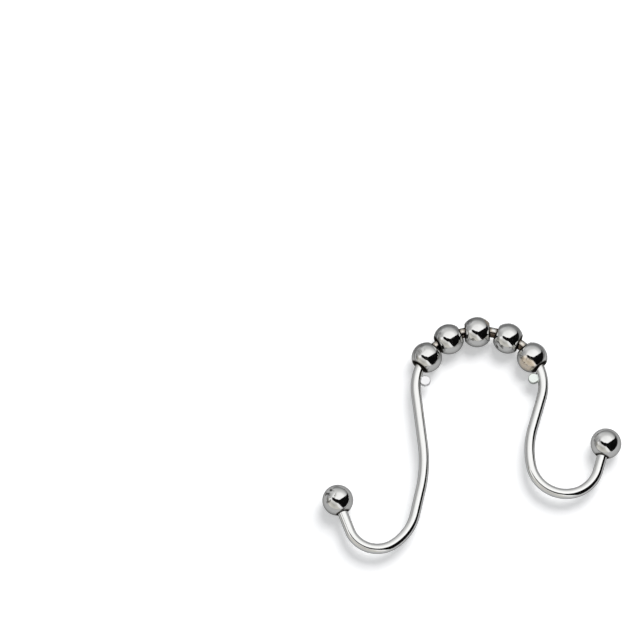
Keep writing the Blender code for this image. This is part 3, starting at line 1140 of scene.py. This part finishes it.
@dataclass(frozen=True)
class Studio:
    """A white table, painted grey with a painted shade where the metal mirrors it, an overhead softbox with
    its flag and cards, and one soft lamp that draws the shadow.

    A row of box is an azimuth and the softbox's light at its edge and at the end of its rim. A row of wall is
    an azimuth and the light at the two edges of the upper and of the lower back wall. A row of flag is an
    azimuth and the flag's two edges.
    """

    floor_size: float = 6.0
    floor_colour: Colour = (0.80, 0.80, 0.80)
    # Where the metal mirrors the table, it is painted grey, and darker in a painted shade on the hook's far
    # side; these fields set those greys, their lifts and that shade.
    floor_lift: float = 0.335
    mirrored_near: float = 0.36
    mirrored_far: float = 0.17
    near_lift: float = 0.26
    far_lift: float = 0.115
    shade_centre: Point = (0.0025, 0.012, 0.0)
    shade_turn_degrees: float = 25.0
    shade_reach: float = 0.034
    shade_line: float = 0.031
    shade_width: float = 0.012
    shade_corner: float = 0.022
    shade_slope: float = 1.3
    fill: Colour = (0.36, 0.37, 0.385)
    lamp_size: float = 0.9
    lamp_place: Point = (0.35, 0.62, 1.05)
    lamp_power: float = 14.0
    box: tuple[Point, ...] = (
        (0.0, 1.34, 1.20), (30.0, 1.36, 1.30), (60.0, 1.30, 1.15), (90.0, 1.18, 0.90),
        (120.0, 1.14, 0.92), (150.0, 1.22, 0.88), (185.0, 1.32, 1.05), (360.0, 1.34, 1.20),
    )
    wall: tuple[tuple[float, ...], ...] = (
        (-10.0, 1.20, 0.85, 0.85, 0.20), (35.0, 1.18, 0.84, 0.80, 0.08), (60.0, 1.02, 0.70, 0.70, 0.26),
        (90.0, 0.88, 0.64, 0.72, 0.30), (125.0, 0.86, 0.80, 0.96, 0.46), (150.0, 0.74, 0.48, 0.46, 0.40),
        (175.0, 0.60, 0.62, 0.62, 0.12),
    )
    flag: tuple[Point, ...] = (
        (172.0, 39.0, 42.0), (180.0, 28.0, 45.0), (195.0, 22.6, 43.8), (210.0, 18.8, 39.9),
        (225.0, 15.6, 37.2), (240.0, 13.5, 38.5), (255.0, 12.6, 39.0), (270.0, 13.6, 40.2),
        (285.0, 16.0, 54.5), (300.0, 17.4, 86.5), (308.0, 18.9, 93.0), (330.0, 20.9, 93.0),
        (345.0, 24.4, 92.0), (360.0, 31.6, 92.0), (375.0, 47.5, 92.0), (384.0, 66.0, 94.0),
    )
    flag_level: float = 0.004

    def cards(self) -> tuple[Card, ...]:
        """Lists the cards.

        Returns:
            The cards that the metal mirrors.
        """
        box_top = tuple((turn, 0.0, 36.5, 1.36, edge) for turn, edge, _ in self.box)
        box_rim = tuple((turn, 36.0, 48.0, edge, rim) for turn, edge, rim in self.box)
        upper = tuple((turn, 47.0, 68.0, *levels[:2]) for turn, *levels in self.wall)
        lower = tuple((turn, 67.0, 92.0, *levels[2:]) for turn, *levels in self.wall)
        return (
            Card("softbox", 1.50, WHITE, box_top),
            Card("softbox_rim", 1.50, WHITE, box_rim),
            Card("back_wall_upper", 1.52, WHITE, upper),
            Card("back_wall_lower", 1.54, (0.99, 1.0, 1.01), lower),
            Card("side_card", 1.40, (1.02, 1.0, 0.935), (
                (172.0, 66.0, 92.0, 0.60, 0.03), (188.0, 64.0, 92.0, 0.74, 0.08),
                (200.0, 54.0, 92.0, 0.68, 0.76), (215.0, 54.0, 92.0, 0.56, 0.95),
                (240.0, 54.0, 92.0, 0.48, 0.80), (270.0, 54.0, 92.0, 0.86, 0.74),
                (300.0, 54.0, 92.0, 0.80, 0.62),
            )),
            Card("side_card_edge", 1.35, (1.01, 1.0, 0.98), (
                (196.0, 38.0, 57.0, 0.92, 1.02), (210.0, 35.0, 57.0, 0.90, 0.86),
                (225.0, 34.0, 57.0, 1.00, 0.66), (255.0, 34.0, 57.0, 1.05, 0.66),
                (270.0, 36.0, 57.0, 1.20, 1.14),
            )),
            Card("white_card", 1.30, WHITE, (
                (176.0, 44.0, 68.0, 0.95, 0.95), (181.0, 44.0, 68.0, 1.35, 1.15),
                (198.0, 42.0, 65.0, 1.10, 1.05),
            )),
            Card("white_strip", 1.25, WHITE, (
                (267.0, 37.0, 62.0, 1.10, 1.12), (276.0, 41.0, 78.0, 1.22, 1.00),
                (286.0, 50.0, 90.0, 1.25, 1.02), (298.0, 78.0, 92.0, 1.10, 0.70),
            )),
            Card("flag", 1.10, WHITE, (
                *((*corner, self.flag_level, self.flag_level) for corner in self.flag),
                (392.0, 79.0, 94.0, self.flag_level, 0.01), (402.0, 87.0, 94.0, 0.01, 0.04),
            )),
        )

    def floor(self) -> None:
        """Lays the table. It takes the shadow, and a plain lift makes it white where nothing shades it. In
        the metal's mirrors it is painted grey, darker in a painted shade on the hook's far side.
        """
        half = self.floor_size / 2
        mesh = bpy.data.meshes.new("table_top")
        corners = [(x, y, 0.0) for x, y in ((-half, -half), (half, -half), (half, half), (-half, half))]
        mesh.from_pydata(corners, [], [(0, 1, 2, 3)])
        tree = SurfaceTree(bpy.data.materials.new("table_white"))
        seen = tree.ray("Is Camera Ray").most(tree.ray("Is Transmission Ray"))
        mirrored = tree.ray("Is Glossy Ray")
        # Painted shade on the table as the metal mirrors it: the grey darkens past a line behind the arch and
        # round its sides, and the mirrored lift dims with it.
        turned = tree.signal("ShaderNodeVectorRotate", {"rotation_type": "Z_AXIS"}, {
            "Vector": tree.signal("ShaderNodeTexCoord", {}, {}, "Object"), "Center": self.shade_centre,
            "Angle": -math.radians(self.shade_turn_degrees),
        })
        x, y, _ = turned.parts()
        past = y - self.shade_line + self.shade_slope * (x.absolute() - self.shade_corner).most(0.0)
        beyond = (0.0 - x).smooth(self.shade_reach, self.shade_reach + self.shade_width)
        painted_shade = past.smooth(0.0, self.shade_width) * (1.0 - beyond)
        painted_mirror_grey = self.mirrored_near + (self.mirrored_far - self.mirrored_near) * painted_shade
        colour = tree.blend(mirrored, self.floor_colour, tree.vector(painted_mirror_grey, painted_mirror_grey, painted_mirror_grey))
        glow = self.near_lift + (self.far_lift - self.near_lift) * painted_shade
        paint = tree.node("ShaderNodeBsdfDiffuse", {}, {"Color": colour})
        lift = tree.node("ShaderNodeEmission", {}, {
            "Color": WHITE, "Strength": (seen * self.floor_lift).most(mirrored * glow),
        })
        both = tree.node("ShaderNodeAddShader", {}, {0: paint.outputs[0], 1: lift.outputs[0]})
        mesh.materials.append(tree.finish(both))
        floor = add_object("table_top", mesh)

    def world(self) -> None:
        """Makes the background white for the camera and the metal, and a soft fill for the table."""
        tree = SurfaceTree(bpy.data.worlds.new("studio"), "ShaderNodeOutputWorld")
        seen = tree.ray("Is Camera Ray").most(tree.ray("Is Glossy Ray")).most(tree.ray("Is Transmission Ray"))
        colour = tree.blend(seen, self.fill, WHITE)
        sky = tree.node("ShaderNodeBackground", {}, {"Color": colour, "Strength": 1.0})
        bpy.context.scene.world = tree.finish(sky)

    def lamp(self) -> None:
        """Hangs the lamp that draws the shadow on the table."""
        data = bpy.data.lights.new("overhead_lamp", "AREA")
        data.shape = "DISK"
        data.size = self.lamp_size
        data.energy = self.lamp_power
        lamp = add_object("overhead_lamp", data)
        lamp.location = self.lamp_place
        lamp.rotation_euler = Vector(self.lamp_place).to_track_quat("Z", "Y").to_euler()
        lamp.visible_glossy = False

    def build(self) -> None:
        """Sets up the table, the world, the lamp and the cards."""
        self.floor()
        self.world()
        self.lamp()
        for card in self.cards():
            card.make()


@dataclass(frozen=True)
class Viewpoint:
    """The camera, which looks down on the table from the hook's open side."""

    place: Point = (-0.040815, -0.312075, 0.884836)
    lean_degrees: float = 21.4
    lens_mm: float = 195.12
    sensor_mm: float = 36.0
    nearest: float = 0.01
    farthest: float = 20.0

    def make(self) -> None:
        """Sets the camera up."""
        data = bpy.data.cameras.new("camera")
        data.sensor_width = self.sensor_mm
        data.lens = self.lens_mm
        data.clip_start = self.nearest
        data.clip_end = self.farthest
        camera = add_object("camera", data)
        camera.location = self.place
        camera.rotation_euler = (math.radians(self.lean_degrees), 0.0, 0.0)
        bpy.context.scene.camera = camera


def main() -> None:
    """Builds the hook and its studio, piece by piece."""
    logging.basicConfig(level=logging.INFO, format="%(name)s: %(message)s")
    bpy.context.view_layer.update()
    route = WireRoute(tuple(frame["record"]["mounts"][0]["pos_m"]))
    # The wire's dark spot colour paints the shade between the balls.
    wire_finish = Chrome(
        "wire_chrome", plate=(0.73, 0.73, 0.72), edge=(0.18, 0.18, 0.18), spot_and_shade=(0.07, 0.05, 0.035),
    )
    even: Point = (1.0, 1.0, 1.0)
    ball_finish = Chrome(
        "ball_chrome", line_stretch=even, line_scale=3000.0, swell_scale=260.0, under=(0.30, 0.24, 0.18),
        rub_share=0.9,
    )
    stop_finish = Chrome("stop_chrome", plate=(0.66, 0.70, 0.67), roughness=0.10, line_stretch=even)
    pale_finish = Chrome(
        "pale_stop_chrome", plate=(0.74, 0.74, 0.75), edge=(0.95, 0.95, 0.95), roughness=0.30,
        line_stretch=even,
    )

    balls = tuple(route.beside(joint["pos_m"]) for joint in frame["joints"])
    HookWire(route, wire_finish, balls=balls).make()
    WeldedStop(route, pale_finish, Leg.LONG, (-0.012303, 0.015306, 0.004125), "Long Shoulder").make()
    WeldedStop(route, stop_finish, Leg.SHORT, (0.017006, 0.015974, 0.004125), "Short Shoulder").make()
    for leg in Leg:
        TipBall(route, ball_finish, leg).make()
    for joint in frame["joints"]:
        node = joint["child"]
        RollerBall(ball_finish, node, tuple(joint["pos_m"]), tuple(joint["axis"])).make()

    Studio().build()
    Viewpoint().make()
    bpy.context.scene.view_settings.view_transform = "Standard"


if __name__ == "__main__":
    main()
